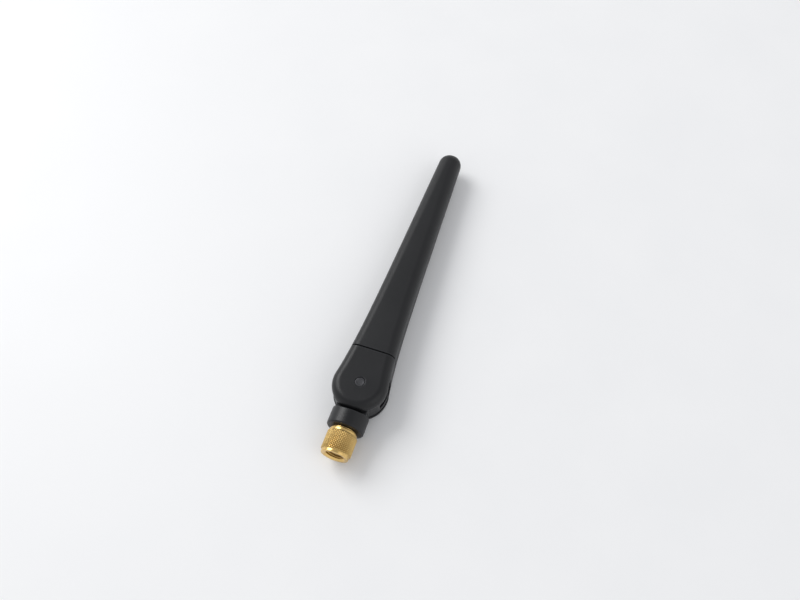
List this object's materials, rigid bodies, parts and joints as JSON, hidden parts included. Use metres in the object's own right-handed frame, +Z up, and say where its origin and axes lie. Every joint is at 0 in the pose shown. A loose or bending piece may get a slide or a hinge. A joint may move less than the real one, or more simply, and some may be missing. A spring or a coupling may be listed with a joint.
{
  "type": "omnidirectional antenna",
  "caption": "Slim black blade antenna, tapered to a round tip, with a friction hinge at its wide base and a swivelling coaxial plug with a knurled gold nut.",
  "frame": {"origin": "on the surface that the antenna lies on, under the middle of its length and width", "axes": "+Y along the antenna from the coupling nut to the blade's tip, +Z up through the blade's wide face, +X across the blade; the hinge axis is along Z"},
  "size_m": [0.0174, 0.12, 0.012],
  "materials": {
    "radome_plastic": "satin black moulded plastic with a fine even texture",
    "knuckle_plastic": "satin black moulded plastic, slightly smoother than the radome",
    "pin_steel": "turned steel pin heads with a dull black oxide finish",
    "spring_steel": "plain spring wire",
    "gold_plating": "gold plating on machined brass",
    "dipole_brass": "drawn brass, slightly tarnished",
    "ptfe": "waxy white fluoropolymer",
    "foam": "pale closed-cell foam",
    "silicone": "soft red silicone gasket",
    "shrink_tube": "shrunk black tubing",
    "cable_jacket": "translucent brown cable jacket",
    "cable_braid": "silvered copper braid",
    "copper": "silvered copper-clad wire"
  },
  "bodies": {
    "blade": {"radome": "radome_plastic", "hinge_fork": "knuckle_plastic", "hinge_pin_front": "pin_steel", "hinge_pin_back": "pin_steel", "dipole_sleeve": "dipole_brass", "sleeve_spacer": "ptfe", "upper_radiator": "dipole_brass", "feed_heat_shrink": "shrink_tube", "lower_foam_spacer": "foam", "upper_foam_spacer": "foam", "coax_jacket": "cable_jacket", "coax_braid": "cable_braid", "coax_dielectric": "ptfe", "coax_conductor": "copper"},
    "elbow": {"elbow": "knuckle_plastic"},
    "connector": {"connector_body": "gold_plating", "connector_insulator": "ptfe", "centre_contact": "gold_plating", "gasket": "silicone", "nut_retaining_ring": "spring_steel", "swivel_clip": "spring_steel", "crimp_ferrule": "gold_plating"},
    "nut": {"coupling_nut": "gold_plating"}
  },
  "joints": [
    {"name": "elbow_tilt", "type": "hinge", "parent": "blade", "child": "elbow", "pos_m": [0, -0.0374, 0.006], "axis": [0, 0, 1], "range_deg": [-90, 90], "deforming": ["coax_jacket", "coax_braid", "coax_dielectric", "coax_conductor"]},
    {"name": "connector_swivel", "type": "hinge", "parent": "elbow", "child": "connector", "pos_m": [0, -0.0494, 0.006], "axis": [0, 1, 0], "continuous": true},
    {"name": "nut_spin", "type": "hinge", "parent": "connector", "child": "nut", "pos_m": [0, -0.0535, 0.006], "axis": [0, 1, 0], "continuous": true}
  ]
}
